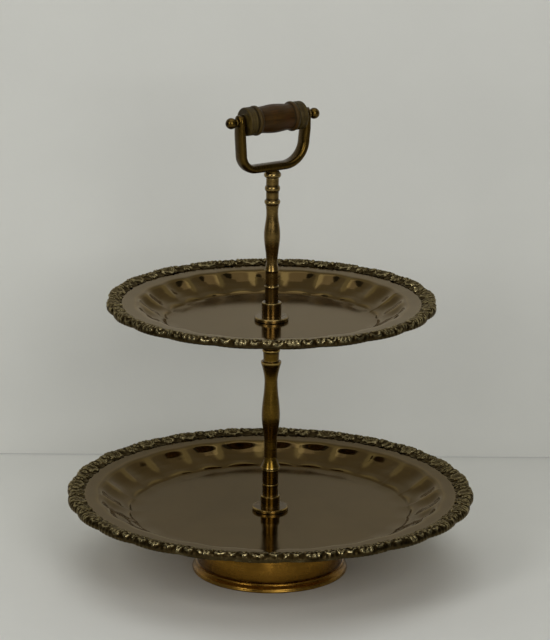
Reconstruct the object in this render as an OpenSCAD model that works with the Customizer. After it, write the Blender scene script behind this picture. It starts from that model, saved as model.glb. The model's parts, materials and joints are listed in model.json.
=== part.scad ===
// Two-tier cake stand: dished brass trays with cast scalloped borders, a turned stem in two
// columns, a spun hollow foot, and a stirrup handle with a turned wooden grip.
// Millimetres, Z up. The stand rests on z = 0 with its axis on Z, and the grip's pin lies along X.

/* [Trays] */
// Diameter over the lower tray's border
lower_d = 305; // [296:1:320]
// Diameter over the upper tray's border
upper_d = 244; // [236:1:256]
// Height of the lower tray's floor above the table
lower_floor_z = 46; // [44:0.5:50]
// Height of the upper tray's floor above the table
upper_floor_z = 193.5; // [185:0.5:205]
// Depth of the lower tray's well below its flange
lower_well_h = 14; // [11:0.5:16]
// Depth of the upper tray's well below its flange
upper_well_h = 13.5; // [11:0.5:15]
// Thickness of the tray sheet
sheet = 1; // [0.8:0.1:1.4]

/* [Borders] */
// Width of the lower border, seen from above
lower_border_w = 13.5; // [12:0.5:15]
// Width of the upper border, seen from above
upper_border_w = 11.5; // [10:0.5:13]
// Height of a border's crest above its bottom edge
border_h = 6.2; // [5.4:0.1:6.8]
// Number of scallops round the lower border
lower_scallops = 24; // [20:4:28]
// Number of scallops round the upper border
upper_scallops = 20; // [16:4:24]

/* [Foot] */
// Diameter of the foot where it stands
foot_d = 117; // [110:1:124]
// Thickness of the spun foot wall
foot_wall = 1.2; // [1:0.1:1.6]

/* [Stem] */
// Diameter of the threaded studs that join the stem
stud_d = 6; // [5.6:0.1:6.2]
// Rise of a column for each turn on its stud
thread_pitch = 1; // [0.8:0.1:1.25]
// Turns that free a column from its stud
thread_turns = 8; // [6:1:9]
// Diameter of the clamping disc on the lower tray
lower_disc_d = 27; // [25:0.5:30]
// Diameter of the clamping disc on the upper tray
upper_disc_d = 25.2; // [24:0.2:28]
// Thickness of the clamping discs
disc_h = 2.9; // [2.5:0.1:3.5]

/* [Handle] */
// Height of the grip's pin above the table
pin_z = 345; // [343:0.5:352]
// Distance between the middles of the handle's arms
arm_span = 57; // [56:0.5:60]
// Thickness of the handle bar, seen from the front
bar_t = 6.2; // [5.8:0.1:6.8]
// Width of the handle bar, seen from the side
bar_w = 8.5; // [8:0.1:9.5]
// Diameter of the pin through the grip
pin_d = 3.5; // [3:0.1:4]
// Radius of the grip at its two raised rings
grip_ring_r = 11; // [10.4:0.1:11.5]

/* [Hidden] */
$fn = 96;

// Clearances
thread_gap = 0.05;   // radial, between a stud and the hole it screws into
pass_gap = 0.2;      // radial, where a stud passes through a sheet or a disc
pin_gap = 0.05;      // radial, between the grip's bore and its pin
seat_gap = 0.02;     // radial, where one piece is seated in another for good
end_gap = 0.3;       // beyond a stud's end in a blind hole
side_gap = 0.3;      // between the grip's ends and the arms

stud_r = stud_d / 2;
pin_r = pin_d / 2;
thread_l = thread_pitch * thread_turns;

// Foot and its fastening
foot_r = foot_d / 2;
foot_top_z = lower_floor_z - sheet;
foot_lip_h = 1.6;
foot_ridge_r = foot_r - 2.5;
foot_ridge_z = 6.2;
foot_dome_r = foot_r - 3.9;
foot_dome_z = 7.2;
foot_flange_r = 34;
washer_r = 9;
washer_h = 1.2;
nut_flats = 10;
nut_h = 5;
washer_z = foot_top_z - foot_wall - washer_h;
nut_z = washer_z - nut_h;

// Tray outlines
cavetto_w = 25;
upper_cavetto_w = 21;
flange_rise = 0.5;
tuck = 5.5;          // how far a tray's edge stops short of its border's outside
border_drop = 2.7;   // how far a border hangs below its tray's flange
shoulder_w = 11;     // flat of a flange between its border and its slope
crest_h = 2.5;       // height of a border's rounded crest
scallop_step = 2;    // how far the scallops' edge lies below the crest
scallop_r = 50;

// Lower column, from the disc up
lower_z = lower_floor_z + disc_h;
lower_socket_r = 7.2;
lower_socket_h = 8.6;
lower_stem_z = lower_z + lower_socket_h;
lower_stem_r = 5.9;
lower_bell_z = lower_stem_z + 22;
lower_neck_z = lower_bell_z + 8.5;
lower_bell_r = 7.4;
lower_neck_r = 4.75;
lower_belly_r = 6.86;
lower_waist_r = 4.89;
lower_lip_r = 7.6;
seat_h = 30.5;
seat_r = 5.8;
seat_flange_r = 12.6;
lower_top_z = upper_floor_z - sheet - seat_h;

// Upper column, from the disc up
upper_z = upper_floor_z + disc_h;
upper_socket_r = 7.3;
upper_socket_h = 10.9;
upper_stem_z = upper_z + upper_socket_h;
upper_bell_z = upper_stem_z + 24.3;
upper_neck_z = upper_bell_z + 6.5;
upper_stem_r = 4.95;
upper_bell_r = 5.5;
upper_neck_r = 4.2;
upper_belly_r = 5.98;
upper_waist_r = 4.41;
upper_lip_r = 5.1;
upper_head_r = 4.7;
upper_head_h = 19.8;
collar_h = 4;
bar_z = pin_z - 35.6;
boss_h = 4.1;
boss_r = 5.2;
upper_top_z = bar_z - boss_h - collar_h;
spigot_r = 4.4;
handle_stud_l = 12;

// Handle
corner_r = 15;
arm_x = arm_span / 2;
arm_in_x = arm_x - bar_t / 2;
arm_out_x = arm_x + bar_t / 2;
ball_r = 4.1;
ball_neck_r = 2.5;
ball_x = arm_out_x + 4.9;
grip_l = 2 * (arm_in_x - side_gap);
handle_stud_r = 2.2;
drum_round = 1.2;    // rounding of the grip's ends

blend_steps = 16;
bead_steps = 8;
brass = "#7d6434";
dark_brass = "#5c4d2c";
steel = "#8b8f92";
stained_wood = "#4a3320";

// Points of a smooth S-shaped change of radius, with no slope at either end
function blend(r0, z0, r1, z1) =
    [for (i = [0 : blend_steps]) let (t = i / blend_steps)
        [r0 + (r1 - r0) * (1 - cos(180 * t)) / 2, z0 + (z1 - z0) * t]];

// Points of a flare that leaves radius r0 gently and is steepest at r1
function flare(r0, z0, r1, z1) =
    [for (i = [0 : bead_steps]) let (t = i / bead_steps)
        [r0 + (r1 - r0) * pow(t, 1.6), z0 + (z1 - z0) * t]];

// Points of a half-round bead that stands out from radius r between z0 and z1
function bead(r, z0, z1, out) =
    [for (i = [0 : bead_steps]) let (a = 180 * i / bead_steps)
        [r + out * sin(a), (z0 + z1) / 2 - (z1 - z0) / 2 * cos(a)]];

function reversed(list) = [for (i = [len(list) - 1 : -1 : 0]) list[i]];

// A solid turned about Z from its outline, given from the bottom up
module turned(outline) {
    bottom = outline[0][1];
    top = outline[len(outline) - 1][1];
    rotate_extrude() polygon(concat([[0, bottom]], outline, [[0, top]]));
}

// A straight hole or rod about Z
module rod(r, z0, z1) {
    translate([0, 0, z0]) cylinder(r = r, h = z1 - z0);
}

// ---- Foot ----

function dome_r(t) = foot_flange_r + (foot_dome_r - foot_flange_r) * sqrt(1 - t * t);

function foot_outline(inset) =
    concat([[foot_r - inset, 0], [foot_r - inset, foot_lip_h]],
           blend(foot_r - inset, foot_lip_h, foot_ridge_r - inset, foot_ridge_z),
           [for (i = [0 : blend_steps]) let (t = i / blend_steps)
               [dome_r(t) - inset, foot_dome_z + (foot_top_z - inset - foot_dome_z) * t]]);

module foot() {
    color(brass) difference() {
        turned(foot_outline(0));
        turned(concat([[foot_r - foot_wall, -1]], foot_outline(foot_wall)));
        rod(stud_r + pass_gap, foot_top_z - 2 * foot_wall, foot_top_z + 1);
    }
}

module foot_washer() {
    color(steel) difference() {
        rod(washer_r, washer_z, washer_z + washer_h);
        rod(stud_r + pass_gap, washer_z - 1, washer_z + washer_h + 1);
    }
}

module foot_nut() {
    color(steel) difference() {
        translate([0, 0, nut_z]) cylinder(r = nut_flats / sqrt(3), h = nut_h, $fn = 6);
        rod(stud_r + seat_gap, nut_z - 1, nut_z + nut_h + 1);
    }
}

// ---- Trays ----

// The upper face of a tray from its hole to its edge
function tray_line(r, floor_z, well_h, slope_w, border_w) =
    let (shoulder_r = r - border_w - shoulder_w)
    concat([[stud_r + pass_gap, floor_z]],
           [for (p = blend(floor_z, shoulder_r - slope_w, floor_z + well_h, shoulder_r)) [p[1], p[0]]],
           [for (edge_r = [r - border_w, r - tuck]) [edge_r, floor_z + well_h + flange_rise]]);

module tray(r, floor_z, well_h, slope_w, border_w) {
    line = tray_line(r, floor_z, well_h, slope_w, border_w);
    rotate_extrude() polygon(concat(line, [for (p = reversed(line)) [p[0], p[1] - sheet]]));
}

module lower_tray() {
    color(brass) tray(lower_d / 2, lower_floor_z, lower_well_h, cavetto_w, lower_border_w);
}

module upper_tray() {
    color(brass) tray(upper_d / 2, upper_floor_z, upper_well_h, upper_cavetto_w, upper_border_w);
}

// A ring with a scalloped outside and a rounded crest, rebated over the tray's edge
module border(r, flange_z, border_w, scallops) {
    bottom = flange_z - border_drop;
    difference() {
        union() {
            translate([0, 0, bottom]) linear_extrude(border_h - scallop_step)
                for (i = [1 : scallops]) rotate(360 * i / scallops)
                    translate([r - scallop_r, 0]) circle(r = scallop_r);
            rotate_extrude() translate([0, bottom + border_h - crest_h])
                polygon([[r - border_w, 0], [r - 8, 0.75 * crest_h], [r - 5.5, crest_h],
                         [r - 4, 0.85 * crest_h], [r - 2.6, 0]]);
        }
        rod(r - border_w, bottom - 1, bottom + border_h + 1);
        rod(r - tuck + pass_gap, bottom - 1, flange_z);
    }
}

module lower_border() {
    color(dark_brass) border(lower_d / 2, lower_floor_z + lower_well_h + flange_rise,
                             lower_border_w, lower_scallops);
}

module upper_border() {
    color(dark_brass) border(upper_d / 2, upper_floor_z + upper_well_h + flange_rise,
                             upper_border_w, upper_scallops);
}

// ---- Stem ----

// A clamping disc with chamfered edges
module disc(r, z) {
    chamfer = 0.6;
    difference() {
        turned([[r - chamfer, z], [r, z + chamfer], [r, z + disc_h - chamfer],
                [r - chamfer, z + disc_h]]);
        rod(stud_r + pass_gap, z - 1, z + disc_h + 1);
    }
}

// A drum that a column's spigot is seated in
module socket(r, z, h) {
    chamfer = 0.4;
    difference() {
        turned([[r, z], [r, z + h - chamfer], [r - chamfer, z + h]]);
        rod(spigot_r + seat_gap, z - 1, z + h + 1);
    }
}

module lower_stud() {
    color(brass) rod(stud_r, nut_z - 1.5, lower_z + thread_l);
}

module lower_disc() {
    color(brass) disc(lower_disc_d / 2, lower_floor_z);
}

module lower_socket() {
    color(brass) socket(lower_socket_r, lower_z, lower_socket_h);
}

module lower_column() {
    vase_h = lower_top_z - lower_neck_z;
    belly_z = lower_neck_z + 0.43 * vase_h;
    color(brass) difference() {
        turned(concat(
            [[spigot_r, lower_z], [spigot_r, lower_stem_z], [lower_stem_r, lower_stem_z]],
            bead(lower_stem_r, lower_stem_z + 7.7, lower_stem_z + 9.3, 0.45),
            [[lower_stem_r, lower_bell_z - 2.4]],
            bead(lower_stem_r, lower_bell_z - 2.4, lower_bell_z - 1, 0.7),
            [[lower_bell_r - 0.2, lower_bell_z - 0.6]],
            reversed(flare(lower_neck_r, lower_neck_z, lower_bell_r, lower_bell_z)),
            blend(lower_neck_r, lower_neck_z + 0.15 * vase_h, lower_belly_r, belly_z),
            blend(lower_belly_r, belly_z, lower_waist_r, lower_neck_z + 0.79 * vase_h),
            flare(lower_waist_r, lower_top_z - 15, lower_lip_r, lower_top_z - 1.5),
            [[lower_lip_r, lower_top_z - 0.3], [lower_lip_r - 0.3, lower_top_z]]));
        rod(stud_r + thread_gap, lower_z - 1, lower_z + thread_l + end_gap);
        rod(stud_r + seat_gap, lower_top_z - thread_l, lower_top_z + 1);
    }
}

module tray_seat() {
    top = lower_top_z + seat_h;
    color(brass) difference() {
        turned(concat(
            [[seat_r, lower_top_z], [seat_r, lower_top_z + 7]],
            bead(seat_r, lower_top_z + 7, lower_top_z + 9.6, 0.9),
            [[seat_r, lower_top_z + 10.5]],
            flare(seat_r, lower_top_z + 16, seat_flange_r - 0.4, top - 2.6),
            [[seat_flange_r, top - 2.2], [seat_flange_r, top - 0.4],
             [seat_flange_r - 0.4, top]]));
        rod(stud_r + seat_gap, lower_top_z - 1, top + 1);
    }
}

module upper_stud() {
    color(brass) rod(stud_r, lower_top_z - thread_l + end_gap, upper_z + thread_l);
}

module upper_disc() {
    color(brass) disc(upper_disc_d / 2, upper_floor_z);
}

module upper_socket() {
    color(brass) socket(upper_socket_r, upper_z, upper_socket_h);
}

module upper_column() {
    bead_z = upper_top_z - upper_head_h;
    vase_h = bead_z - upper_neck_z;
    belly_z = upper_neck_z + 0.46 * vase_h;
    color(brass) difference() {
        turned(concat(
            [[spigot_r, upper_z], [spigot_r, upper_stem_z], [upper_stem_r, upper_stem_z],
             [upper_stem_r, upper_stem_z + 10.4]],
            bead(upper_stem_r, upper_stem_z + 11, upper_stem_z + 12.6, 0.55),
            [[upper_head_r, upper_stem_z + 13.2], [upper_head_r, upper_bell_z - 1]],
            reversed(flare(upper_neck_r, upper_neck_z, upper_bell_r, upper_bell_z)),
            blend(upper_neck_r, upper_neck_z, upper_belly_r, belly_z),
            blend(upper_belly_r, belly_z, upper_waist_r, upper_neck_z + 0.84 * vase_h),
            flare(upper_waist_r, upper_neck_z + 0.85 * vase_h, upper_lip_r, bead_z),
            bead(upper_lip_r, bead_z, bead_z + 3, 0.77),
            [[upper_head_r, bead_z + 3.6], [upper_head_r, bead_z + 9.3]],
            bead(upper_head_r, bead_z + 9.6, bead_z + 13.6, 0.95),
            [[upper_head_r, bead_z + 14], [upper_head_r, upper_top_z]]));
        rod(stud_r + thread_gap, upper_z - 1, upper_z + thread_l + end_gap);
        rod(handle_stud_r + seat_gap, upper_top_z - handle_stud_l, upper_top_z + 1);
    }
}

// ---- Handle ----

module handle_collar() {
    color(brass) difference() {
        turned(concat(bead(4.9, upper_top_z, upper_top_z + collar_h, 1.4)));
        rod(handle_stud_r + pass_gap, upper_top_z - 1, upper_top_z + collar_h + 1);
    }
}

module handle_stud() {
    color(brass) rod(handle_stud_r, upper_top_z - handle_stud_l + end_gap, bar_z + 1.9);
}

// Cross-section of the handle bar: a flat-sided oval, thick along X and wide along Y
module bar_section() {
    square([bar_t, bar_w - bar_t], center = true);
    for (side = [-1, 1]) translate([0, side * (bar_w - bar_t) / 2]) circle(d = bar_t);
}

// One arm, its eye and its corner, on the +X side
module arm() {
    translate([arm_x, 0, bar_z + corner_r]) linear_extrude(pin_z - bar_z - corner_r) bar_section();
    translate([arm_in_x, 0, pin_z]) rotate([0, 90, 0]) cylinder(d = bar_w, h = bar_t);
    translate([arm_x - corner_r, 0, bar_z + corner_r]) rotate([-90, 0, 0])
        rotate_extrude(angle = 90) translate([corner_r, 0]) bar_section();
}

module yoke() {
    color(dark_brass) difference() {
        union() {
            arm();
            mirror([1, 0, 0]) arm();
            translate([corner_r - arm_x, 0, bar_z]) rotate([0, 90, 0])
                linear_extrude(2 * (arm_x - corner_r)) bar_section();
            turned([[boss_r - 0.3, bar_z - boss_h], [boss_r, bar_z - boss_h + 0.4],
                    [boss_r - 1.6, bar_z]]);
        }
        rod(handle_stud_r + seat_gap, bar_z - boss_h - 1, bar_z + 1.9 + end_gap);
        translate([-arm_out_x - 1, 0, pin_z]) rotate([0, 90, 0])
            cylinder(r = pin_r + seat_gap, h = 2 * arm_out_x + 2);
    }
}

module grip_pin() {
    color(brass) translate([-ball_x, 0, pin_z]) rotate([0, 90, 0])
        cylinder(r = pin_r, h = 2 * ball_x);
}

// One ball nut, its axis on Z and its seat at z = 0
module ball_nut() {
    ball_z = ball_x - arm_out_x;
    difference() {
        union() {
            turned(concat(bead(ball_neck_r - 0.2, 0, 1.4, 0.6), [[ball_neck_r - 0.4, ball_z]]));
            translate([0, 0, ball_z]) sphere(r = ball_r);
        }
        rod(pin_r + seat_gap, -1, ball_z + seat_gap);
    }
}

module ball_nuts() {
    color(brass) for (side = [-1, 1])
        translate([side * arm_out_x, 0, pin_z]) rotate([0, side * 90, 0]) ball_nut();
}

// The outline of the grip from its middle to one end, along its axis
function grip_half() =
    let (end = grip_l / 2, barrel_r = grip_ring_r - 0.5, waist_r = grip_ring_r - 1.4,
         drum_r = grip_ring_r - 0.6)
    concat(blend(barrel_r, 0, waist_r, 13.4),
           bead(waist_r, 14, 17.8, grip_ring_r - waist_r),
           [[waist_r, 18.4]],
           [for (i = [0 : bead_steps]) let (a = 90 * i / bead_steps)
               [waist_r + (drum_r - waist_r) * sin(a), 19.6 - 1.2 * cos(a)]],
           [[drum_r, end - drum_round]],
           [for (i = [1 : bead_steps]) let (a = 90 * i / bead_steps)
               [drum_r - drum_round * (1 - cos(a)), end - drum_round * (1 - sin(a))]]);

module grip() {
    half = grip_half();
    mirrored = [for (p = reversed(half)) [p[0], -p[1]]];
    color(stained_wood) translate([0, 0, pin_z]) rotate([0, 90, 0]) difference() {
        turned(concat(mirrored, [for (i = [1 : len(half) - 1]) half[i]]));
        rod(pin_r + pin_gap, -grip_l, grip_l);
    }
}

foot();
foot_washer();
foot_nut();
lower_stud();
lower_tray();
lower_border();
lower_disc();
lower_socket();
lower_column();
tray_seat();
upper_stud();
upper_tray();
upper_border();
upper_disc();
upper_socket();
upper_column();
handle_collar();
handle_stud();
yoke();
grip_pin();
ball_nuts();
grip();
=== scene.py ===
"""Looks of a two-tier brass cake stand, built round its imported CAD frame.

The scene is in metres. Outlines are written in millimetres, as a turner would, and scaled by MM.
Z is up, the stand's axis is Z and the grip's pin lies along X.
"""
import json
import math

import bpy
import numpy as np
from mathutils import Matrix, Vector

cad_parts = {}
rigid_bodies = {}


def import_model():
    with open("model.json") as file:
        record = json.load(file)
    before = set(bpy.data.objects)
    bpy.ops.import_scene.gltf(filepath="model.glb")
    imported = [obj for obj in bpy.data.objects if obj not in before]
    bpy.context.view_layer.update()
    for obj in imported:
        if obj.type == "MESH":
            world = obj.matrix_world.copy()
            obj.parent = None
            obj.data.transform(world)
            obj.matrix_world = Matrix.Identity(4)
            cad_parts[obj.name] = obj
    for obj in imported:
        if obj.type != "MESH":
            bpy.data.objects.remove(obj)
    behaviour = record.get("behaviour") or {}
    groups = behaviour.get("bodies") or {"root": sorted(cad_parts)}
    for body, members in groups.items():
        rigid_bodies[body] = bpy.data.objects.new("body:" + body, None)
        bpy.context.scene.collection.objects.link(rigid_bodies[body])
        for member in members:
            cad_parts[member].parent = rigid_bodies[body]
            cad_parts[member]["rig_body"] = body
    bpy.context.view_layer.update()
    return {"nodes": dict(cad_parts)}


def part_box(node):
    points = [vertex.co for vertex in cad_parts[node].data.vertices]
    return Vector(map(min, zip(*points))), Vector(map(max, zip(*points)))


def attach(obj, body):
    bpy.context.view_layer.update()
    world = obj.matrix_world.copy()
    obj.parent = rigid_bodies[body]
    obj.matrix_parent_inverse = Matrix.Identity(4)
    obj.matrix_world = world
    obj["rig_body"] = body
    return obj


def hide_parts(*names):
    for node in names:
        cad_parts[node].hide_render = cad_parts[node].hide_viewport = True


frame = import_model()

MM = 0.001
TAU = 2 * math.pi
rng = np.random.default_rng(7)


# ---- Where things are, in millimetres, read from the frame ----

def extent(node):
    """(bottom, top, outer radius) of a CAD node that is turned about Z."""
    low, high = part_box(node)
    return low.z / MM, high.z / MM, high.x / MM


SHEET = 1.0          # thickness of the trays' sheet
FLANGE_RISE = 0.5    # from a tray's shoulder to its border
PASS_GAP = 0.2       # round a stud where it passes through a part
THREAD_GAP = 0.05    # round a stud where it is screwed in
SEAT_GAP = 0.02      # round a stud or spigot that is seated for good
RUNNING_GAP = 0.05   # round the pin, inside the grip
HOLE_DEPTH = 8.3     # of the screw hole in the lower end of each column
SPIGOT_R = 4.4       # of each column, inside its socket
UNDERSIDE = 3.0      # the wear that marks a tray's unlacquered underside
BORDER_W = {"lower_border": 13.5, "upper_border": 11.5}  # seen from above
STUD_R = extent("lower_stud")[2]
LOWER_FLOOR_Z = extent("lower_disc")[0]
UPPER_FLOOR_Z = extent("upper_disc")[0]
PIN_Z = (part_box("grip")[0].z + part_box("grip")[1].z) / 2 / MM
PIN_R = (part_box("grip_pin")[1].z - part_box("grip_pin")[0].z) / 2 / MM


# ---- Meshes from rows of points ----
#
# A part is its vertices in millimetres, its faces, and the wear of each vertex: from -1 in a hollow,
# where patina gathers, to +1 on a crest, where handling rubs it bright.

def ring_grid(outline, steps):
    """Rows of points, one row for each (radius, height) of the outline, turned about Z."""
    turn = np.arange(steps) / steps * TAU
    outline = np.asarray(outline, float)
    radius, height = outline[:, :1], outline[:, 1:]
    return np.stack([radius * np.cos(turn), radius * np.sin(turn),
                     height + 0 * turn], axis=-1)


def shell(rows, looped=False, wear=None):
    """Vertices, faces and wear of a closed surface through rows of points.

    Each row is a closed ring. A looped surface joins its last row to its first, and any other
    is capped at both ends."""
    count, steps = rows.shape[:2]
    vertices = rows.reshape(-1, 3)
    wear = np.zeros(count * steps) if wear is None else np.asarray(wear, float).reshape(-1)
    index = np.arange(count * steps).reshape(count, steps)
    lower = index if looped else index[:-1]
    upper = np.roll(index, -1, axis=0) if looped else index[1:]
    quads = np.stack([lower, np.roll(lower, -1, axis=1), np.roll(upper, -1, axis=1), upper], axis=-1)
    faces = [tuple(face) for face in quads.reshape(-1, 4).tolist()]
    if not looped:
        for ring, flip in ((index[0], True), (index[-1], False)):
            centre = len(vertices)
            vertices = np.vstack([vertices, vertices[ring].mean(axis=0)])
            wear = np.append(wear, wear[ring].mean())
            for a, b in zip(ring.tolist(), np.roll(ring, -1).tolist()):
                faces.append((b, a, centre) if flip else (a, b, centre))
    return vertices, faces, wear


def placed(part, matrix):
    """The same part, moved by a matrix whose shifts are in millimetres."""
    vertices, faces, wear = part
    m = np.array(matrix)
    return vertices @ m[:3, :3].T + m[:3, 3], faces, wear


def add_piece(name, parts, node, material, sharp_deg=40):
    """An object made of one or more parts, which stands for a CAD node and rides on its body."""
    vertices, faces, wear = [], [], []
    for part in parts:
        start = sum(len(v) for v in vertices)
        vertices.append(part[0])
        faces += [tuple(i + start for i in face) for face in part[1]]
        wear.append(part[2])
    mesh = bpy.data.meshes.new(name)
    mesh.from_pydata((np.vstack(vertices) * MM).tolist(), [], faces)
    mesh.shade_smooth()
    mesh.set_sharp_from_angle(angle=math.radians(sharp_deg))
    attribute = mesh.attributes.new("wear", "FLOAT", "POINT")
    attribute.data.foreach_set("value", np.concatenate(wear).astype(np.float32))
    mesh.materials.append(material)
    piece = bpy.data.objects.new(name, mesh)
    bpy.context.scene.collection.objects.link(piece)
    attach(piece, frame["nodes"][node]["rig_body"])
    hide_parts(node)
    return piece


# ---- Outlines: lists of (radius, height) from the bottom up ----

def ease(r0, z0, r1, z1, steps=20):
    """A smooth S-shaped change of radius, with no slope at either end."""
    return [(r0 + (r1 - r0) * (1 - math.cos(math.pi * i / steps)) / 2, z0 + (z1 - z0) * i / steps)
            for i in range(steps + 1)]


def flare(r0, z0, r1, z1, steps=12):
    """A flare that leaves radius r0 gently and is steepest at r1."""
    return [(r0 + (r1 - r0) * (i / steps) ** 1.6, z0 + (z1 - z0) * i / steps)
            for i in range(steps + 1)]


def bead(r, z0, z1, out, steps=12):
    """A half-round bead that stands out from radius r between z0 and z1."""
    return [(r + out * math.sin(math.pi * i / steps),
             (z0 + z1) / 2 - (z1 - z0) / 2 * math.cos(math.pi * i / steps))
            for i in range(steps + 1)]


def soften(outline, radius=0.22, steps=4):
    """The outline with its sharp corners rounded, as polishing leaves them."""
    points = [Vector(p) for p in outline]
    rounded = [points[0]]
    for before, corner, after in zip(points, points[1:], points[2:]):
        a, b = before - corner, after - corner
        if a.length < 1e-6 or b.length < 1e-6:
            continue
        turn = math.pi - a.angle(b)
        if turn < math.radians(24):
            rounded.append(corner)
            continue
        reach = min(radius * math.tan(turn / 2), a.length * 0.45, b.length * 0.45)
        start, end = corner + a.normalized() * reach, corner + b.normalized() * reach
        for i in range(steps + 1):
            t = i / steps
            rounded.append(start * (1 - t) ** 2 + corner * 2 * t * (1 - t) + end * t ** 2)
    rounded.append(points[-1])
    return [tuple(p) for p in rounded]


def resampled(outline, step=1.2):
    """The outline with long straight stretches divided, so that wear can vary along them."""
    points = [outline[0]]
    for (r0, z0), (r1, z1) in zip(outline, outline[1:]):
        pieces = max(1, math.ceil(math.hypot(r1 - r0, z1 - z0) / step))
        points += [(r0 + (r1 - r0) * i / pieces, z0 + (z1 - z0) * i / pieces)
                   for i in range(1, pieces + 1)]
    return points


def outline_wear(outline, reach=1.6):
    """How proud (+1) or sunken (-1) each point of an outline lies beside its neighbours."""
    points = np.asarray(outline, float)
    gaps = np.hypot(*np.diff(points, axis=0).T)
    along = np.concatenate([[0], np.cumsum(gaps)])
    weight = np.exp(-((along[:, None] - along[None, :]) / reach) ** 2)
    weight *= np.gradient(along)[None, :]
    mean_r = (weight * points[None, :, 0]).sum(axis=1) / weight.sum(axis=1)
    return np.clip((points[:, 0] - mean_r) / 0.35, -1, 1)


def turned(outline, bore=0.0, steps=128, round_off=0.22):
    """A part turned about Z from an outline that runs from the bottom up. A bore goes right through."""
    body = resampled(soften([(bore, outline[0][1]), *outline, (bore, outline[-1][1])], round_off))
    wear = np.repeat(outline_wear(body)[:, None], steps, axis=1)
    if bore:
        return shell(ring_grid(body, steps), looped=True, wear=wear)
    return shell(ring_grid(body[1:-1], steps), wear=wear[1:-1])


def turned_ring(outline, steps=128, round_off=0.22):
    """A hollow part turned about Z from an outline that closes on itself."""
    body = resampled(soften([*outline, outline[0]], round_off))[:-1]
    wear = np.repeat(outline_wear(body)[:, None], steps, axis=1)
    return shell(ring_grid(body, steps), looped=True, wear=wear)


# ---- Materials ----

class Graph:
    """Short-hand for the node tree of one material. In names of sockets, _ stands for a space."""

    def __init__(self, name):
        self.material = bpy.data.materials.new(name)
        self.material.use_nodes = True
        self.tree = self.material.node_tree
        self.surface = self.tree.nodes["Principled BSDF"]

    def node(self, kind, settings=None, **inputs):
        made = self.tree.nodes.new("ShaderNode" + kind)
        for key, value in (settings or {}).items():
            setattr(made, key, value)
        for key, value in inputs.items():
            self.put(made, key.replace("_", " "), value)
        return made

    def put(self, node, key, value):
        socket = node.inputs[int(key)] if str(key).isdigit() else node.inputs[key]
        if isinstance(value, bpy.types.NodeSocket):
            self.tree.links.new(value, socket)
        else:
            socket.default_value = value

    def set(self, **inputs):
        for key, value in inputs.items():
            self.put(self.surface, key.replace("_", " "), value)

    def place(self, stretch=(1, 1, 1)):
        """The object's own coordinates in metres, stretched along each axis."""
        coordinates = self.node("TexCoord").outputs["Object"]
        return self.node("Mapping", Vector=coordinates, Scale=stretch).outputs["Vector"]

    def noise(self, vector, scale, detail=4.0, roughness=0.55, distortion=0.0):
        return self.node("TexNoise", Vector=vector, Scale=scale, Detail=detail,
                         Roughness=roughness, Distortion=distortion).outputs["Fac"]

    def maths(self, operation, a, b=0.0):
        made = self.node("Math", {"operation": operation})
        self.put(made, 0, a)
        self.put(made, 1, b)
        return made.outputs[0]

    def span(self, value, low, high, to_low=0.0, to_high=1.0):
        """value, from low to high, as a share between to_low and to_high."""
        return self.node("MapRange", {"clamp": True, "interpolation_type": "SMOOTHSTEP"}, Value=value,
                         From_Min=low, From_Max=high, To_Min=to_low, To_Max=to_high).outputs["Result"]

    def mix(self, share, a, b, blend="MIX"):
        made = self.node("Mix", {"data_type": "RGBA", "blend_type": blend})
        self.put(made, 0, share)
        for key, value in ((6, a), (7, b)):
            colour = value if isinstance(value, bpy.types.NodeSocket) else (*value, 1.0)
            self.put(made, key, colour)
        return made.outputs[2]

    def wear(self):
        return self.node("Attribute", {"attribute_name": "wear"}).outputs["Fac"]

    def bump(self, height, distance, strength=1.0, normal=None):
        made = self.node("Bump", Height=height, Distance=distance, Strength=strength)
        if normal is not None:
            self.put(made, "Normal", normal)
        return made.outputs["Normal"]


def tray_brass():
    """Sheet brass under a dark lacquer, polished to a mirror, with fine rubbing marks."""
    g = Graph("tray_brass")
    place = g.place()
    cloud = g.noise(place, 26, 5, 0.6)
    blotch = g.noise(place, 90, 4, 0.6, 0.6)
    base = g.mix(g.span(cloud, 0.35, 0.7), (0.066, 0.042, 0.015), (0.082, 0.053, 0.020))
    base = g.mix(g.span(blotch, 0.62, 0.78, 0, 0.35), base, (0.050, 0.030, 0.010))
    hollow = g.span(g.wear(), -0.15, -0.9, 0, 0.55)
    base = g.mix(hollow, base, (0.016, 0.009, 0.003))
    rubbed = g.span(g.wear(), 0.03, 0.22, 0, 0.5)
    base = g.mix(rubbed, base, (0.21, 0.145, 0.050))
    bare = g.span(g.wear(), 1.5, 2.5)
    base = g.mix(bare, base, (0.34, 0.21, 0.065))
    scratch_a = g.noise(g.place((1, 24, 1)), 60, 3, 0.7)
    scratch_b = g.noise(g.place((22, 1.4, 1)), 55, 3, 0.7)
    scratch = g.maths("MAXIMUM", g.span(scratch_a, 0.66, 0.72), g.span(scratch_b, 0.67, 0.73))
    haze = g.maths("ADD", g.span(cloud, 0.3, 0.75, 0.095, 0.150), g.maths("MULTIPLY", scratch, 0.05))
    haze = g.maths("ADD", haze, g.maths("MULTIPLY", bare, 0.25))
    g.set(Base_Color=base, Metallic=1.0, Roughness=haze, Specular_Tint=(0.96, 0.88, 0.76, 1))
    wave = g.noise(place, 38, 2, 0.4)
    fine = g.bump(scratch, 0.00001, 0.25)
    g.set(Normal=g.bump(wave, 0.0006, 0.10, fine))
    return g.material


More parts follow.
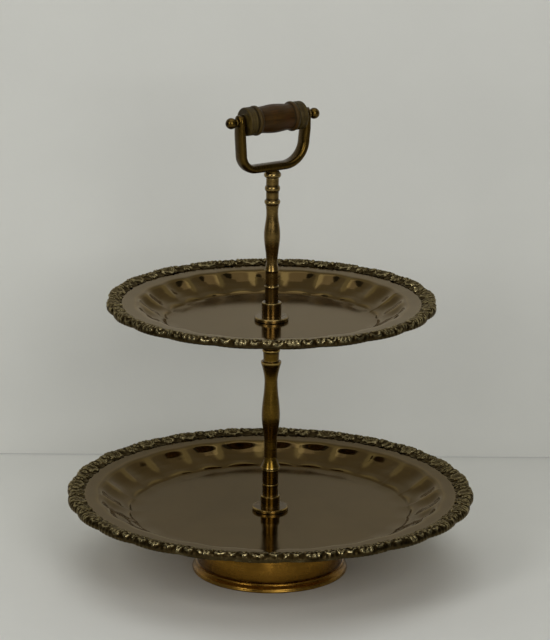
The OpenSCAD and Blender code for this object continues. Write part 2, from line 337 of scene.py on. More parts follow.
def border_brass():
    """Cast brass: near-black patina in the hollows, dull olive brass on the slopes, rubbed crests."""
    g = Graph("border_brass")
    place = g.place()
    grain = g.noise(place, 900, 5, 0.65)
    cloud = g.noise(place, 70, 4, 0.6)
    wear = g.maths("ADD", g.wear(), g.span(cloud, 0.3, 0.7, -0.18, 0.18))
    base = g.mix(g.span(wear, -0.75, -0.05), (0.016, 0.010, 0.003), (0.047, 0.033, 0.013))
    base = g.mix(g.span(wear, 0.0, 0.75), base, (0.22, 0.18, 0.09))
    base = g.mix(g.span(grain, 0.55, 0.75, 0, 0.4), base, (0.06, 0.045, 0.018))
    rough = g.span(wear, -0.6, 0.7, 0.42, 0.20)
    rough = g.maths("ADD", rough, g.span(grain, 0.3, 0.7, -0.04, 0.06))
    g.set(Base_Color=base, Metallic=1.0, Roughness=rough, Specular_Tint=(0.92, 0.83, 0.68, 1))
    pits = g.bump(grain, 0.00012, 0.35)
    g.set(Normal=g.bump(g.noise(place, 340, 3, 0.5), 0.00035, 0.3, pits))
    return g.material


def worked_brass(name, tool_axis, rough, tint, bright, dark, marked=1.0):
    """Brass worked on a lathe: fine marks round its axis, patina in the quirks, brighter beads."""
    g = Graph(name)
    place = g.place()
    across = tuple(1.0 if axis == tool_axis else 0.03 for axis in "XYZ")
    rings = g.noise(g.place(across), 2600, 3, 0.7)
    coarse = g.noise(g.place(across), 520, 2, 0.6)
    cloud = g.noise(place, 85, 5, 0.62, 0.4)
    spots = g.noise(place, 420, 4, 0.6, 0.5)
    wear = g.maths("ADD", g.wear(), g.span(cloud, 0.3, 0.7, -0.15, 0.15))
    base = g.mix(g.span(wear, -0.85, 0.05), dark, tint)
    base = g.mix(g.span(wear, 0.15, 0.95), base, bright)
    base = g.mix(g.span(cloud, 0.5, 0.75, 0, 0.35), base, tuple(c * 0.55 for c in tint))
    base = g.mix(g.span(spots, 0.64, 0.74, 0, 0.4), base, dark)
    base = g.mix(g.span(coarse, 0.35, 0.65, 0.16, 0.0), base, dark)
    level = g.maths("ADD", g.span(cloud, 0.3, 0.75, rough, rough + 0.12),
                    g.span(rings, 0.3, 0.7, -0.03, 0.05))
    g.set(Base_Color=base, Metallic=1.0, Roughness=level)
    marks = g.bump(rings, 0.00003, 0.35 * marked)
    g.set(Normal=g.bump(coarse, 0.00005, 0.10, marks))
    return g.material


def fastener_steel():
    """Zinc-plated steel, dulled and slightly stained."""
    g = Graph("fastener_steel")
    place = g.place()
    cloud = g.noise(place, 160, 4, 0.6)
    grain = g.noise(place, 1400, 3, 0.6)
    base = g.mix(g.span(cloud, 0.35, 0.65), (0.34, 0.35, 0.34), (0.50, 0.50, 0.48))
    base = g.mix(g.span(g.wear(), -0.1, -0.8, 0, 0.7), base, (0.10, 0.08, 0.06))
    g.set(Base_Color=base, Metallic=1.0, Roughness=g.span(grain, 0.3, 0.7, 0.30, 0.46))
    g.set(Normal=g.bump(grain, 0.00003, 0.4))
    return g.material


def grip_wood():
    """Dark stained turned wood, waxed and darkened by handling, its grain along the pin."""
    g = Graph("grip_wood")
    place = g.place()
    grain = g.noise(g.place((5, 60, 60)), 14, 6, 0.65, 0.5)
    pores = g.noise(g.place((18, 260, 260)), 9, 3, 0.6)
    lines = g.noise(g.place((1, 0.04, 0.04)), 1500, 3, 0.75)
    cloud = g.noise(place, 75, 4, 0.6)
    base = g.mix(g.span(grain, 0.3, 0.7), (0.016, 0.006, 0.001), (0.050, 0.021, 0.002))
    base = g.mix(g.span(cloud, 0.42, 0.72, 0, 0.6), base, (0.045, 0.012, 0.001))
    base = g.mix(g.span(pores, 0.6, 0.72, 0, 0.6), base, (0.014, 0.009, 0.004))
    along = g.node("SeparateXYZ", Vector=place).outputs["X"]
    drums = g.span(g.maths("ABSOLUTE", along), 0.0135, 0.0195)
    ribbed = g.mix(g.span(lines, 0.4, 0.6), (0.018, 0.011, 0.002), (0.060, 0.040, 0.009))
    base = g.mix(drums, base, ribbed)
    base = g.mix(g.span(lines, 0.35, 0.65, 0.5, 0.0), base, (0.018, 0.012, 0.005))
    base = g.mix(g.span(g.wear(), -0.2, -0.9, 0, 0.8), base, (0.010, 0.007, 0.003))
    base = g.mix(g.span(g.wear(), 0.2, 0.9, 0, 0.2), base, (0.07, 0.045, 0.012))
    g.set(Base_Color=base, Roughness=g.span(grain, 0.3, 0.7, 0.36, 0.52), IOR=1.42,
          Specular_Tint=(0.9, 0.72, 0.45, 1))
    g.put(g.surface, "Specular IOR Level", 0.30)
    ridges = g.bump(lines, 0.00010, 0.5)
    g.set(Normal=g.bump(pores, 0.00008, 0.3, ridges))
    return g.material


TRAY = tray_brass()
BORDER = border_brass()
# Two copies of one turned brass. The lower stem's copy is tinted darker as painted shade, for the shade
# under the upper tray. The upper stem's copy is tinted lighter as painted light.
LOWER_STEM_PAINTED_SHADE = worked_brass("lower_stem_brass_painted_shade", "Z", 0.20, tint=(0.115, 0.066, 0.010),
                          bright=(0.34, 0.23, 0.07), dark=(0.018, 0.009, 0.002))
UPPER_STEM_PAINTED_LIGHT = worked_brass("upper_stem_brass_painted_light", "Z", 0.20, tint=(0.165, 0.105, 0.032),
                          bright=(0.27, 0.19, 0.07), dark=(0.024, 0.013, 0.003))
SPUN = worked_brass("spun_brass", "Z", 0.22, tint=(0.235, 0.118, 0.017),
                    bright=(0.40, 0.24, 0.05), dark=(0.085, 0.038, 0.005))
HANDLE = worked_brass("handle_brass", "X", 0.22, tint=(0.080, 0.047, 0.009),
                      bright=(0.17, 0.11, 0.030), dark=(0.014, 0.007, 0.002), marked=1.6)
THREAD = worked_brass("thread_brass", "Z", 0.26, tint=(0.30, 0.21, 0.07),
                      bright=(0.46, 0.34, 0.14), dark=(0.05, 0.03, 0.01))
STEEL = fastener_steel()
WOOD = grip_wood()


# ---- Foot and its fastening ----

def foot():
    """The hollow spun foot: rolled edge, skirt, groove and dome."""
    _, top, radius = extent("foot")
    wall = 1.2
    ridge_r, ridge_z = radius - 2.5, 6.2
    dome_r, dome_z, crown_r = radius - 3.9, 7.2, 34

    def dome(inset, steps=30):
        height = top - inset - dome_z
        shares = [i / steps for i in range(steps + 1)]
        return [(crown_r + (dome_r - crown_r) * math.sqrt(1 - t * t) - inset, dome_z + height * t)
                for t in shares]

    outside = [(radius - 0.9, 0), (radius - 0.25, 0.25), (radius, 0.8), (radius, 1.3),
               *ease(radius - 0.2, 1.7, ridge_r, ridge_z), *dome(0)]
    inside = [(radius - wall, 0), *ease(radius - wall, 1.7, ridge_r - wall, ridge_z), *dome(wall)]
    hole = STUD_R + PASS_GAP
    outline = [*outside, (hole, top), (hole, top - wall), *reversed(inside)]
    part = turned_ring(outline, steps=224, round_off=0.35)
    add_piece("Foot", [part], "foot", SPUN)


def foot_washer():
    """The plain steel washer under the foot's crown."""
    low, high, radius = extent("foot_washer")
    part = turned([(radius, low), (radius, high)], STUD_R + PASS_GAP, steps=96, round_off=0.15)
    add_piece("Foot_washer", [part], "foot_washer", STEEL)


def foot_nut():
    """A hexagon nut with both faces chamfered to a circle."""
    low, high, corner_r = extent("foot_nut")
    flat_r = corner_r * math.sqrt(3) / 2
    turn = np.arange(144) / 144 * TAU
    hexagon = flat_r / np.cos((turn % (TAU / 6)) - TAU / 12)
    face_r = flat_r * 0.94
    chamfer = (hexagon - face_r) * 0.55
    bore = STUD_R + SEAT_GAP
    bore_chamfer = 0.4

    def ring(radius, height):
        return np.stack([radius * np.cos(turn), radius * np.sin(turn), height + 0 * turn], axis=-1)

    rows = np.stack([ring(bore + bore_chamfer, low), ring(face_r, low), ring(hexagon, low + chamfer),
                     ring(hexagon, high - chamfer), ring(face_r, high), ring(bore + bore_chamfer, high),
                     ring(bore, high - bore_chamfer), ring(bore, low + bore_chamfer)])
    spin = Matrix.Rotation(TAU / 12, 4, "Z")
    add_piece("Foot_nut", [placed(shell(rows, looped=True), spin)], "foot_nut",
              STEEL, sharp_deg=25)


def threaded(radius, low, high, pitch, steps=40):
    """A stud with a rolled V thread, its ends chamfered."""
    rows_per_turn = 10
    depth = 0.54 * pitch
    chamfer = 0.8
    count = round((high - low) / pitch * rows_per_turn)
    height = np.linspace(low, high, count + 1)[:, None]
    turn = (np.arange(steps) / steps * TAU)[None, :]
    phase = ((height - low) / pitch - turn / TAU) % 1
    crest = np.clip(1.5 * np.abs(2 * phase - 1) - 0.25, 0, 1)
    from_end = np.minimum(height - low, high - height)
    r = radius - depth * (1 - crest)
    r = np.minimum(r, radius - chamfer + from_end)
    rows = np.stack([r * np.cos(turn), r * np.sin(turn), height + 0 * turn], axis=-1)
    return shell(rows, wear=crest * 1.4 - 0.8)


def studs():
    """The three studs that screw the foot, the columns and the handle together."""
    for name, node, pitch in (("Lower_stud", "lower_stud", 1.0), ("Upper_stud", "upper_stud", 1.0),
                              ("Handle_stud", "handle_stud", 0.7)):
        low, high, radius = extent(node)
        part = threaded(radius, low, high, pitch)
        add_piece(name, [part], node, THREAD, sharp_deg=70)


# ---- Trays ----

def blurred(field, rows, columns):
    """A field averaged over its neighbours. Columns go round and meet, and rows end."""
    for _ in range(2):
        field = sum(np.roll(field, i, axis=1) for i in range(-columns, columns + 1)) / (2 * columns + 1)
        padded = np.pad(field, ((rows, rows), (0, 0)), mode="edge")
        field = sum(padded[i:i + len(field)] for i in range(2 * rows + 1)) / (2 * rows + 1)
    return field


def lobe_places(lobes, per_lobe, spread):
    """The angle of each column and its place across its lobe, from -0.5 to 0.5. Lobes are unequal."""
    edges = (np.arange(lobes) + rng.uniform(-spread, spread, lobes)) * TAU / lobes
    edges = np.append(edges, edges[0] + TAU)
    share = np.arange(per_lobe) / per_lobe
    turn = np.concatenate([a + (b - a) * share for a, b in zip(edges, edges[1:])])
    return turn, np.tile(share - 0.5, lobes)


def pocket(t):
    """Rise of a tray's side in the middle of a lobe: a low step, a gentle slope, a steep shoulder."""
    return np.interp(t, [0, 0.03, 0.09, 0.16, 0.30, 0.60, 0.76, 0.84, 0.92, 1],
                     [0, 0.01, 0.13, 0.175, 0.235, 0.45, 0.63, 0.765, 0.915, 1])


def ridge(t):
    """Rise of a tray's side along the crease between two lobes."""
    return np.interp(t, [0, 0.03, 0.10, 0.20, 0.32, 0.60, 0.90, 1],
                     [0, 0.01, 0.10, 0.16, 0.25, 0.57, 0.93, 1])


def lobe_shape(lobes, per_lobe, well_r, shoulder_r):
    """For each column of the side: its angle, its radius at the foot and at the shoulder, and how
    far it is pressed from a crease (0) towards the middle of a lobe (1)."""
    foot_scallop, shoulder_scallop = 1.2, 1.4
    turn, across = lobe_places(lobes, per_lobe, 0.07)
    bulge = np.cos(math.pi * across) ** 1.5
    unequal = np.repeat(rng.uniform(-1, 1, lobes), per_lobe)
    low_r = well_r + foot_scallop * (bulge - 0.5) * (1 + 0.4 * unequal)
    high_r = shoulder_r + shoulder_scallop * (bulge - 1) * (1 + 0.3 * unequal)
    press = 0.15 + 0.85 * bulge * (1 + 0.3 * np.roll(unequal, per_lobe))
    return turn, low_r, high_r, press


def lobed_tray(node, floor_z, well_r, shoulder_r, lobes, per_lobe=28):
    """A sheet tray with a flat well, a side pressed into lobes, and a flat flange."""
    _, top, edge_r = extent(node)
    well_h = top - FLANGE_RISE - floor_z
    border = node.replace("tray", "border")
    rebate_r = extent(border)[2] - BORDER_W[border]
    turn, low_r, high_r, press = lobe_shape(lobes, per_lobe, well_r, shoulder_r)

    radii, heights = [], []
    for r in np.linspace(STUD_R + PASS_GAP, well_r * 0.9, 10):
        radii.append(r + 0 * turn)
        heights.append(0 * turn)
    steps = np.linspace(0, 1, 64)
    lobe_rise = blurred(pocket(steps)[:, None], 1, 0)[:, 0]
    crease_rise = blurred(ridge(steps)[:, None], 2, 0)[:, 0]
    for t, in_lobe, in_crease in zip(steps, lobe_rise, crease_rise):
        radii.append(low_r + (high_r - low_r) * t)
        heights.append(well_h * (in_crease + (in_lobe - in_crease) * press))
    for t in np.linspace(0, 1, 8)[1:]:
        radii.append(high_r + (rebate_r - high_r) * t)
        heights.append(well_h + FLANGE_RISE * t + 0 * turn)
    for r in (rebate_r + 3, edge_r - 0.3, edge_r):
        radii.append(r + 0 * turn)
        heights.append(well_h + FLANGE_RISE + 0 * turn)
    return sheet(turn, np.array(radii), np.array(heights), floor_z)


def sheet(turn, r, z, floor_z):
    """Sheet metal whose upper side has these angles, radii and heights above the floor."""
    wear = np.clip((z - blurred(z, 2, 3)) / 0.5, -1, 1)
    upper = np.stack([r * np.cos(turn), r * np.sin(turn), floor_z + z], axis=-1)
    under = upper[::-1].copy()
    under[..., 2] -= SHEET
    unlacquered = np.full(wear.shape, UNDERSIDE)
    return shell(np.concatenate([upper, under]), looped=True, wear=np.concatenate([wear, unlacquered]))


# ---- Borders ----
#
# The pattern is drawn in millimetres: s runs round the rim from the middle of a shell, and y runs
# outwards over the roll from the inner edge.

PATTERN_W = 13.2     # width of the pattern as drawn
PATTERN_RUN = 15.5   # length over the roll that this width is laid on


def bump_at(distance, width):
    """A smooth bump, 1 high at its middle."""
    return np.exp(-(distance / width) ** 2)


def shell_relief(s, y):
    """A fan of ribs that opens outwards from its foot, with a boss on the foot."""
    foot_y, length, half_angle, rib_angle = 0.8, 11.8, 1.25, 0.36
    angle = np.arctan2(s, y - foot_y)
    reach = np.hypot(s, y - foot_y) / (length * np.cos(0.72 * np.clip(angle, -1.5, 1.5)))
    inside = np.clip((1 - reach) / 0.12, 0, 1) * (np.abs(angle) < half_angle)
    rib = np.abs(np.cos(angle * math.pi / rib_angle)) ** 0.7
    fan = inside * (0.5 + 0.75 * rib * np.clip(reach * 2.2, 0.2, 1))
    return fan + 0.5 * bump_at(np.hypot(s, y - 1.6), 1.3)


def scroll_relief(s, y, centre_s, centre_y, size, hand):
    """A C-scroll: a rounded ridge that winds into a small eye."""
    ds, dy = (s - centre_s) * hand, y - centre_y
    radius, angle = np.hypot(ds, dy), np.arctan2(dy, ds) % TAU
    ridge = 0 * s
    for turn in range(3):
        wound = angle + TAU * turn
        arm = size * np.exp(-0.19 * wound)
        width = 0.17 * arm + 0.22
        fade = np.clip(wound / 0.9, 0, 1)
        ridge = np.maximum(ridge, fade * bump_at(radius - arm, width))
    return 1.15 * ridge + 0.9 * bump_at(radius, 0.22 * size)


def leaf_relief(s, y, centre_s):
    """A leaf across the roll, with a sunk midrib and slanting veins."""
    x = np.abs(s - centre_s)
    half = 3.9 * np.sin(math.pi * np.clip(y / PATTERN_W, 0, 1) ** 0.8) + 0.05
    inside = np.clip((half - x) / 0.7, 0, 1)
    veins = np.abs(np.cos(math.pi * (y - 1.1 * x) / 1.9)) ** 0.8
    return inside * (0.45 + 0.55 * veins) - 0.4 * bump_at(x, 0.4) * inside


def cast_pattern(s, along, pitch, hand_cut):
    """Height of the shells, C-scrolls and leaves, a row for each place along the section."""
    s_grid, y_grid = np.meshgrid(s, along * PATTERN_W / PATTERN_RUN)
    s_grid = s_grid + 1.3 * blurred(rng.uniform(-1, 1, s_grid.shape) * 12, 3, 7)
    y_grid = y_grid + 0.8 * blurred(rng.uniform(-1, 1, s_grid.shape) * 12, 3, 7)
    leaves = leaf_relief(s_grid, y_grid, np.sign(s_grid) * pitch / 2)
    relief = np.maximum(shell_relief(s_grid, y_grid), leaves)
    for hand in (-1, 1):
        scroll = scroll_relief(s_grid, y_grid, hand * 0.285 * pitch, 6.6, 4.7, hand)
        small = scroll_relief(s_grid, y_grid, hand * 0.40 * pitch, 2.9, 2.3, -hand)
        pearl = bump_at(np.hypot(s_grid - hand * 6.1, y_grid - 2.6), 0.95)
        relief = np.maximum(relief, np.maximum(scroll, 0.8 * small))
        relief = np.maximum(relief, pearl)
    relief += 0.22 * blurred(rng.uniform(-1, 1, relief.shape) * 4, 1, 1)
    edge_band = 1.6
    fade = np.clip((along[-1] - edge_band - along) / edge_band, 0, 1)[:, None]
    relief = relief * fade + 0.35 * (1 - fade)
    return 0.72 * relief * (1 + 0.22 * hand_cut)


def rim_edges(s, pitch, width, edge_r):
    """Radius of the border's inner edge, stepped beside each shell, and of its scalloped outer edge."""
    steps_out = bump_at(np.abs(s) - 0.19 * pitch, 1.2) + bump_at(np.abs(s) - 0.43 * pitch, 1.0)
    scallop = 1 - np.abs(np.cos(math.pi * s / pitch)) ** 0.7
    notches = np.abs(np.sin(TAU * 5 * s / pitch))
    return edge_r - width + 2.3 * steps_out, edge_r - (2.2 * scallop + 0.35 * notches)


def section_of_roll(width, steps=38):
    """The border's cross-section over the flange: it climbs outwards to its crest and rolls over."""
    crest_at, start_h, crest_h = 0.77, 0.3, 2.6
    t = np.linspace(0, 1, steps)
    climb = np.sin(math.pi / 2 * np.clip(t / crest_at, 0, 1)) ** 1.3
    climb = start_h + (crest_h - start_h) * climb
    fall = crest_h * np.cos(math.pi / 2 * np.clip((t - crest_at) / (1.02 - crest_at), 0, 1)) ** 0.7
    reach = (width - 0.9) * t
    side = np.array([[width - 0.75, -0.4], [width - 0.7, -1.5], [width - 1.0, -2.6]])
    return np.vstack([np.stack([reach, np.where(t < crest_at, climb, fall)], axis=1), side])


def cast_border(node, tray, repeats, per_repeat=64):
    """A cast ring with its pattern over a convex roll, closed below round the tray's flange."""
    bottom, crest_z, edge_r = extent(node)
    tray_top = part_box(tray)[1]
    flange_z = tray_top.z / MM
    tuck_r = tray_top.x / MM + PASS_GAP
    width = BORDER_W[node]
    columns = repeats * per_repeat
    turn = np.arange(columns) / columns * TAU
    pitch = TAU * (edge_r - width / 2) / repeats
    s = (np.arange(columns) % per_repeat / per_repeat - 0.5) * pitch
    hand_cut = blurred(rng.uniform(-1, 1, (1, columns)) * 6, 0, per_repeat // 6)[0]
    s = s * (1 + 0.05 * hand_cut)

    section = section_of_roll(width)
    along = np.concatenate([[0], np.cumsum(np.hypot(*np.diff(section, axis=0).T))])
    slope = np.gradient(section, axis=0)
    slope /= np.hypot(*slope.T)[:, None]
    normal = np.stack([-slope[:, 1], slope[:, 0]], axis=1)
    relief = cast_pattern(s, along, pitch, hand_cut)

    inner_r, outer_r = rim_edges(s, pitch, width, edge_r)
    share = (section[:, 0] / section[:, 0].max())[:, None]
    r = inner_r * (1 - share) + outer_r * share
    r = np.minimum(r + normal[:, :1] * relief, edge_r)
    z = flange_z + section[:, 1:] + normal[:, 1:] * relief
    z = np.clip(z, bottom, crest_z)
    wear = np.clip((relief - blurred(relief, 4, 5)) / 0.38, -1, 1)
    wear -= 0.5 * np.clip(0.25 - relief, 0, 1)

    under_r = [edge_r - 3.2, tuck_r, tuck_r, edge_r - width + 3.4]
    under_z = [bottom, bottom, flange_z, flange_z]
    for radius, height in zip(under_r, under_z):
        r = np.vstack([r, radius + 0 * turn])
        z = np.vstack([z, height + 0 * turn])
        wear = np.vstack([wear, -0.4 + 0 * turn])
    rows = np.stack([r * np.cos(turn), r * np.sin(turn), z], axis=-1)
    return shell(rows[::-1], looped=True, wear=wear[::-1])


def trays_and_borders():
    lower = lobed_tray("lower_tray", LOWER_FLOOR_Z, well_r=103.5, shoulder_r=129, lobes=24)
    upper = lobed_tray("upper_tray", UPPER_FLOOR_Z, well_r=77, shoulder_r=99.5, lobes=22)
    add_piece("Lower_tray", [lower], "lower_tray", TRAY, sharp_deg=60)
    add_piece("Upper_tray", [upper], "upper_tray", TRAY, sharp_deg=60)
    border = cast_border("lower_border", "lower_tray", 24)
    add_piece("Lower_border", [border], "lower_border", BORDER, sharp_deg=80)
    border = cast_border("upper_border", "upper_tray", 20)
    add_piece("Upper_border", [border], "upper_border", BORDER, sharp_deg=80)


# ---- Stem ----

def disc(name, node, material):
    """A loose clamping disc between a tray and its column."""
    low, high, radius = extent(node)
    outline = [(radius - 0.5, low), (radius, low + 0.4), (radius, high - 0.6), (radius - 0.6, high)]
    part = turned(outline, STUD_R + PASS_GAP, steps=160, round_off=0.2)
    add_piece(name, [part], node, material)


def socket(name, node, material):
    """The drum on a disc that a column's spigot is seated in."""
    low, high, radius = extent(node)
    outline = [(radius, low), (radius, high - 0.4), (radius - 0.4, high)]
    part = turned(outline, SPIGOT_R + SEAT_GAP, round_off=0.18)
    add_piece(name, [part], node, material)


def bored(outline, steps=128):
    """A turned part with a blind screw hole in its lower end."""
    low, high = outline[0][1], outline[-1][1]
    bore_r = STUD_R + THREAD_GAP
    chamfer = 0.3
    body = [(bore_r, low + HOLE_DEPTH), (bore_r, low + chamfer), (bore_r + chamfer, low), *outline,
            (0.4, high)]
    body = resampled(soften(body))
    wear = np.repeat(outline_wear(body)[:, None], steps, axis=1)
    return shell(ring_grid(body, steps), wear=wear)


def lower_column():
    """The lower baluster: spigot, drum with two beads, bell, vase and flared head."""
    low, high, _ = extent("lower_column")
    stem = extent("lower_socket")[1]
    bell, neck = stem + 22, stem + 30.5
    vase = high - neck
    belly = neck + 0.43 * vase
    drum_r, bell_r, neck_r, belly_r, waist_r, head_r = 5.9, 7.4, 4.75, 6.86, 4.89, 7.6
    outline = [(SPIGOT_R, low), (SPIGOT_R, stem), (drum_r, stem),
               *bead(drum_r, stem + 7.7, stem + 9.3, 0.45),
               (drum_r, bell - 2.4), *bead(drum_r, bell - 2.4, bell - 1, 0.7),
               (bell_r - 0.2, bell - 0.6), *reversed(flare(neck_r, neck, bell_r, bell)),
               *ease(neck_r, neck + 0.15 * vase, belly_r, belly),
               *ease(belly_r, belly, waist_r, neck + 0.79 * vase),
               *flare(waist_r, high - 15, head_r, high - 1.5),
               (head_r, high - 0.3), (head_r - 0.3, high)]
    add_piece("Lower_column", [bored(outline)], "lower_column", LOWER_STEM_PAINTED_SHADE)


def tray_seat():
    """The turned head that carries the upper tray: a drum with a bead, flared to a flange."""
    low, high, radius = extent("tray_seat")
    drum_r = 5.8
    outline = [(drum_r, low), (drum_r, low + 7), *bead(drum_r, low + 7, low + 9.6, 0.9),
               (drum_r, low + 10.5), *flare(drum_r, low + 16, radius - 0.4, high - 2.6),
               (radius, high - 2.2), (radius, high - 0.4), (radius - 0.4, high)]
    part = turned(outline, STUD_R + SEAT_GAP)
    add_piece("Tray_seat", [part], "tray_seat", LOWER_STEM_PAINTED_SHADE)


def upper_column():
    """The upper baluster: spigot, drum with a bead, bell, vase and two beads at its head."""
    low, high, _ = extent("upper_column")
    stem = extent("upper_socket")[1]
    bell, neck, beads = stem + 24.3, stem + 30.8, high - 19.8
    vase = beads - neck
    belly = neck + 0.46 * vase
    drum_r, bell_r, neck_r, belly_r, waist_r, head_r, rod_r = 4.95, 5.5, 4.2, 5.98, 4.41, 5.1, 4.7
    outline = [(SPIGOT_R, low), (SPIGOT_R, stem), (drum_r, stem), (drum_r, stem + 10.4),
               *bead(drum_r, stem + 11, stem + 12.6, 0.55), (rod_r, stem + 13.2), (rod_r, bell - 1),
               *reversed(flare(neck_r, neck, bell_r, bell)), *ease(neck_r, neck, belly_r, belly),
               *ease(belly_r, belly, waist_r, neck + 0.84 * vase),
               *flare(waist_r, neck + 0.85 * vase, head_r, beads),
               *bead(head_r, beads, beads + 3, 0.77), (rod_r, beads + 3.6), (rod_r, beads + 9.3),
               *bead(rod_r, beads + 9.6, beads + 13.6, 0.95), (rod_r, beads + 14), (rod_r, high)]
    add_piece("Upper_column", [bored(outline)], "upper_column", UPPER_STEM_PAINTED_LIGHT)


def handle_collar():
    """The rounded collar between the upper column and the handle."""
    low, high, _ = extent("handle_collar")
    end_r, out, bore_r = 4.9, 1.4, 2.4
    part = turned(bead(end_r, low, high, out, steps=20), bore_r, round_off=0.1)
    add_piece("Handle_collar", [part], "handle_collar", UPPER_STEM_PAINTED_LIGHT)


# ---- Handle ----

def rounded_section(thick, wide, steps=40, power=2.7):
    """Points round a soft-cornered oval, as (across, along Y)."""
    turn = np.arange(steps) / steps * TAU
    c, s = np.cos(turn), np.sin(turn)
    size = (np.abs(c) ** power + np.abs(s) ** power) ** (-1 / power)
    return c * size * thick / 2, s * size * wide / 2


def stirrup_half(side, bend, arm_x, bar_z, wide):
    """(x, z, direction, width) from the middle of the bar, round its corner, to the top of one eye."""
    splay = 0.9  # how far the arm leans outwards
    foot_x = arm_x - splay
    eye_foot_z = PIN_Z - wide
    for x in np.linspace(0, foot_x - bend, 9)[:-1]:
        yield side * x, bar_z, 0.0, wide
    for a in np.linspace(0, math.pi / 2, 17):
        yield (side * (foot_x - bend + bend * math.sin(a)), bar_z + bend * (1 - math.cos(a)),
               side * a, wide)
    for z in np.linspace(bar_z + bend, PIN_Z, 8)[1:]:
        lean = (z - bar_z - bend) / (eye_foot_z - bar_z - bend)
        yield side * (foot_x + splay * min(1, lean)), z, side * math.pi / 2, wide
    for a in np.linspace(0, math.pi / 2, 12)[1:]:
        yield (side * arm_x, PIN_Z + wide / 2 * math.sin(a), side * math.pi / 2,
               max(0.6, wide * math.cos(a)))


def yoke():
    """The cast stirrup: a bar, two unequal corners, two arms with their eyes, and a boss below."""
    low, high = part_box("yoke")
    thick = 6.2
    wide = (high.y - low.y) / MM
    arm_x = high.x / MM - thick / 2
    boss_z = low.z / MM
    bar_z = boss_z + 4.1
    right = list(stirrup_half(1, 18.0, arm_x, bar_z, wide))
    left = list(stirrup_half(-1, 11.5, arm_x, bar_z, wide))[:0:-1]
    rows = []
    for x, z, a, w in [*left, *right]:
        across, along_y = rounded_section(thick, w)
        rows.append(np.stack([x - across * math.sin(a), along_y, z + across * math.cos(a)], axis=-1))
    rows = np.array(rows)
    edge = np.abs(rows[..., 1]) / (wide / 2) - 0.6
    bar = shell(rows[:, ::-1], wear=np.clip(0.5 * edge, -0.5, 0.4))
    boss = turned([(4.9, boss_z), (5.2, boss_z + 0.5), (4.3, boss_z + 1.3), (4.9, bar_z)], steps=96)
    add_piece("Yoke", [bar, boss], "yoke", HANDLE, sharp_deg=60)


def on_pin(x=0.0, side=1):
    """The matrix that lays a part turned about Z along the pin, from x towards one side."""
    return Matrix.Translation((x, 0, PIN_Z)) @ Matrix.Rotation(side * math.pi / 2, 4, "Y")


def grip_pin():
    """The plain pin through both eyes and the grip."""
    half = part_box("grip_pin")[1].x / MM
    rod = turned([(PIN_R, -half), (PIN_R, half)], steps=64)
    add_piece("Grip_pin", [placed(rod, on_pin())], "grip_pin", HANDLE)


def ball_nuts():
    """Two balls on collars, which bear on the outsides of the arms and cover the pin's ends."""
    pin_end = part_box("grip_pin")[1].x / MM
    arm_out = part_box("yoke")[1].x / MM
    ball_r = (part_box("ball_nuts")[1].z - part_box("ball_nuts")[0].z) / 2 / MM
    reach = pin_end - arm_out
    ball = [(ball_r * math.sin(a), reach - ball_r * math.cos(a))
            for a in np.linspace(0.62, math.pi - 0.02, 30)]
    part = turned([*bead(2.3, 0, 1.4, 0.6), *ball], steps=96, round_off=0.1)
    nuts = [placed(part, on_pin(side * arm_out, side)) for side in (1, -1)]
    add_piece("Ball_nuts", nuts, "ball_nuts", HANDLE)


def grip():
    """The turned grip: ribbed end drums, two raised rings and a full barrel."""
    low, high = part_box("grip")
    end = high.x / MM
    end_round = 1.2
    ring_r = (high.z - low.z) / 2 / MM
    barrel_r, waist_r, drum_r = ring_r - 0.5, ring_r - 1.4, ring_r - 0.6
    drum_start, drum_end = 19.6, end - end_round
    ribs, per_rib = 5, 8
    drum = []
    for i in range(ribs * per_rib + 1):
        x = drum_start + (drum_end - drum_start) * i / (ribs * per_rib)
        drum.append((drum_r - 0.16 * (1 - abs(math.cos(math.pi * i / per_rib))), x))
    half = [*ease(barrel_r, 0, waist_r, 13.4), *bead(waist_r, 14, 17.8, ring_r - waist_r),
            (waist_r, 18.3), (drum_r - 0.35, 19.1), *drum,
            *[(drum_r - end_round * (1 - math.cos(a)), drum_end + end_round * math.sin(a))
              for a in np.linspace(0.1, math.pi / 2, 8)]]
    outline = [*[(r, -x) for r, x in reversed(half)], *half[1:]]
    part = turned(outline, PIN_R + RUNNING_GAP, steps=160, round_off=0.25)
    add_piece("Grip", [placed(part, on_pin())], "grip", WOOD)


# ---- Stage, lights and camera ----

VIEW_DEG = -34.6     # direction the camera stands in, seen from above
CAMERA_OUT = 2.0666  # distance from the stand's axis, along the ground
CAMERA_UP = 0.752    # height over the ground
PITCH = 0.2640       # radians below the horizon
ROLL = 0.0074        # radians about the line of sight
LENS = 162.8         # focal length, on a sensor 36 mm wide
SHIFT_X = 0.0055
WALL_BACK = 0.273    # from the stand's axis to the backdrop


def toward(azimuth_deg, out, height):
    """A point at a direction from above, where 0 is -Y and positive turns towards +X."""
    a = math.radians(azimuth_deg)
    return Vector((out * math.sin(a), -out * math.cos(a), height))


def camera():
    data = bpy.data.cameras.new("Camera")
    data.lens = LENS
    data.sensor_width = 36
    data.shift_x = SHIFT_X
    made = bpy.data.objects.new("Camera", data)
    bpy.context.scene.collection.objects.link(made)
    turn = (Matrix.Rotation(math.radians(VIEW_DEG), 4, "Z")
            @ Matrix.Rotation(math.pi / 2 - PITCH, 4, "X") @ Matrix.Rotation(ROLL, 4, "Z"))
    made.matrix_world = Matrix.Translation(toward(VIEW_DEG, CAMERA_OUT, CAMERA_UP)) @ turn
    bpy.context.scene.camera = made


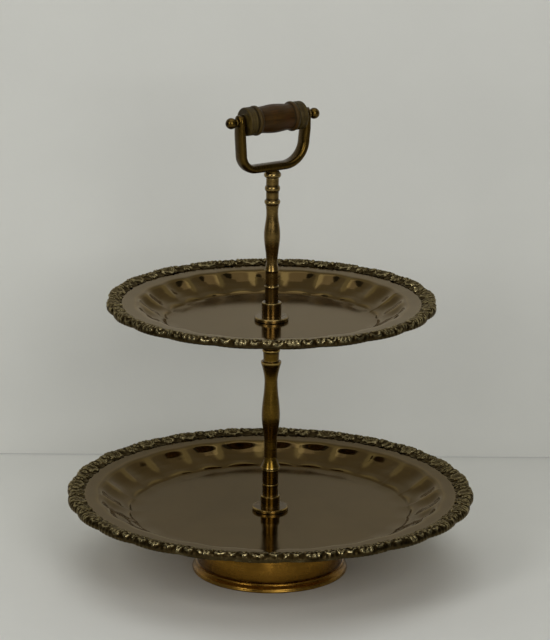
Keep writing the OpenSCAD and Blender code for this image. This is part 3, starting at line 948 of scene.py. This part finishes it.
def paper(name, colour, one_sided=False):
    """Matt painted board, faintly mottled. A one-sided board can't be seen from behind."""
    g = Graph(name)
    cloud = g.noise(g.place(), 5, 5, 0.6)
    fibre = g.noise(g.place(), 260, 3, 0.6)
    shade = tuple(c * 0.965 for c in colour)
    g.set(Base_Color=g.mix(g.span(cloud, 0.3, 0.7), shade, colour), Roughness=0.85)
    g.put(g.surface, "Specular IOR Level", 0.2)
    g.set(Normal=g.bump(fibre, 0.0004, 0.15))
    if one_sided:
        behind = g.node("NewGeometry").outputs["Backfacing"]
        mixer = g.node("MixShader", Fac=behind)
        g.tree.links.new(g.surface.outputs[0], mixer.inputs[1])
        g.tree.links.new(g.node("BsdfTransparent").outputs[0], mixer.inputs[2])
        g.tree.links.new(mixer.outputs[0], g.tree.nodes["Material Output"].inputs["Surface"])
    return g.material


def board(name, corners, material):
    """A flat board of the stage, from its four corners."""
    mesh = bpy.data.meshes.new(name)
    mesh.from_pydata([tuple(c) for c in corners], [], [(0, 1, 2, 3)])
    mesh.materials.append(material)
    made = bpy.data.objects.new(name, mesh)
    bpy.context.scene.collection.objects.link(made)


def stage():
    """A pale floor, and a pale backdrop whose lower edge stands just clear of it as a seam."""
    pale = (0.70, 0.70, 0.655)
    size = 6.0
    board("Floor", [(-size, -size, 0), (size, -size, 0), (size, size, 0), (-size, size, 0)],
          paper("floor_board", pale))
    seam = 0.0008
    half_width, height = 1.6, 1.3
    middle = toward(VIEW_DEG, -WALL_BACK, seam)
    side = toward(VIEW_DEG + 90, half_width, 0)
    up = Vector((0, 0, height))
    board("Backdrop", [middle - side, middle + side, middle + side + up, middle - side + up],
          paper("backdrop_board", pale, one_sided=True))


def soft_light(name, azimuth_deg, out, height, size, power):
    """A white panel of light (its width and height in metres) that faces the stand."""
    data = bpy.data.lights.new(name, "AREA")
    data.shape = "RECTANGLE"
    data.size, data.size_y = size
    data.energy = power
    made = bpy.data.objects.new(name, data)
    bpy.context.scene.collection.objects.link(made)
    made.location = toward(azimuth_deg, out, height)
    aim = Vector((0, 0, 0.2)) - made.location
    made.rotation_euler = aim.to_track_quat("-Z", "Y").to_euler()


def lights():
    """A dim even sky, a panel on each side of the camera, a small low one and a broad one overhead."""
    world = bpy.data.worlds.new("World")
    bpy.context.scene.world = world
    world.use_nodes = True
    background = world.node_tree.nodes["Background"]
    background.inputs["Color"].default_value = (0.93, 0.95, 0.93, 1)
    background.inputs["Strength"].default_value = 0.12
    soft_light("Left", VIEW_DEG - 38, 1.5, 0.9, (0.4, 0.9), 6.8)
    soft_light("Right", VIEW_DEG + 17, 1.7, 0.9, (0.6, 0.9), 10.5)
    soft_light("Low_front", VIEW_DEG - 2, 2.4, 0.25, (0.22, 0.5), 1.4)
    soft_light("Overhead", VIEW_DEG, 0.4, 1.9, (1.8, 1.8), 11)
    bpy.context.scene.view_settings.view_transform = "Standard"


foot()
foot_washer()
foot_nut()
studs()
trays_and_borders()
disc("Lower_disc", "lower_disc", LOWER_STEM_PAINTED_SHADE)
disc("Upper_disc", "upper_disc", UPPER_STEM_PAINTED_LIGHT)
socket("Lower_socket", "lower_socket", LOWER_STEM_PAINTED_SHADE)
socket("Upper_socket", "upper_socket", UPPER_STEM_PAINTED_LIGHT)
lower_column()
tray_seat()
upper_column()
handle_collar()
yoke()
grip_pin()
ball_nuts()
grip()
camera()
stage()
lights()

bpy.context.view_layer.update()
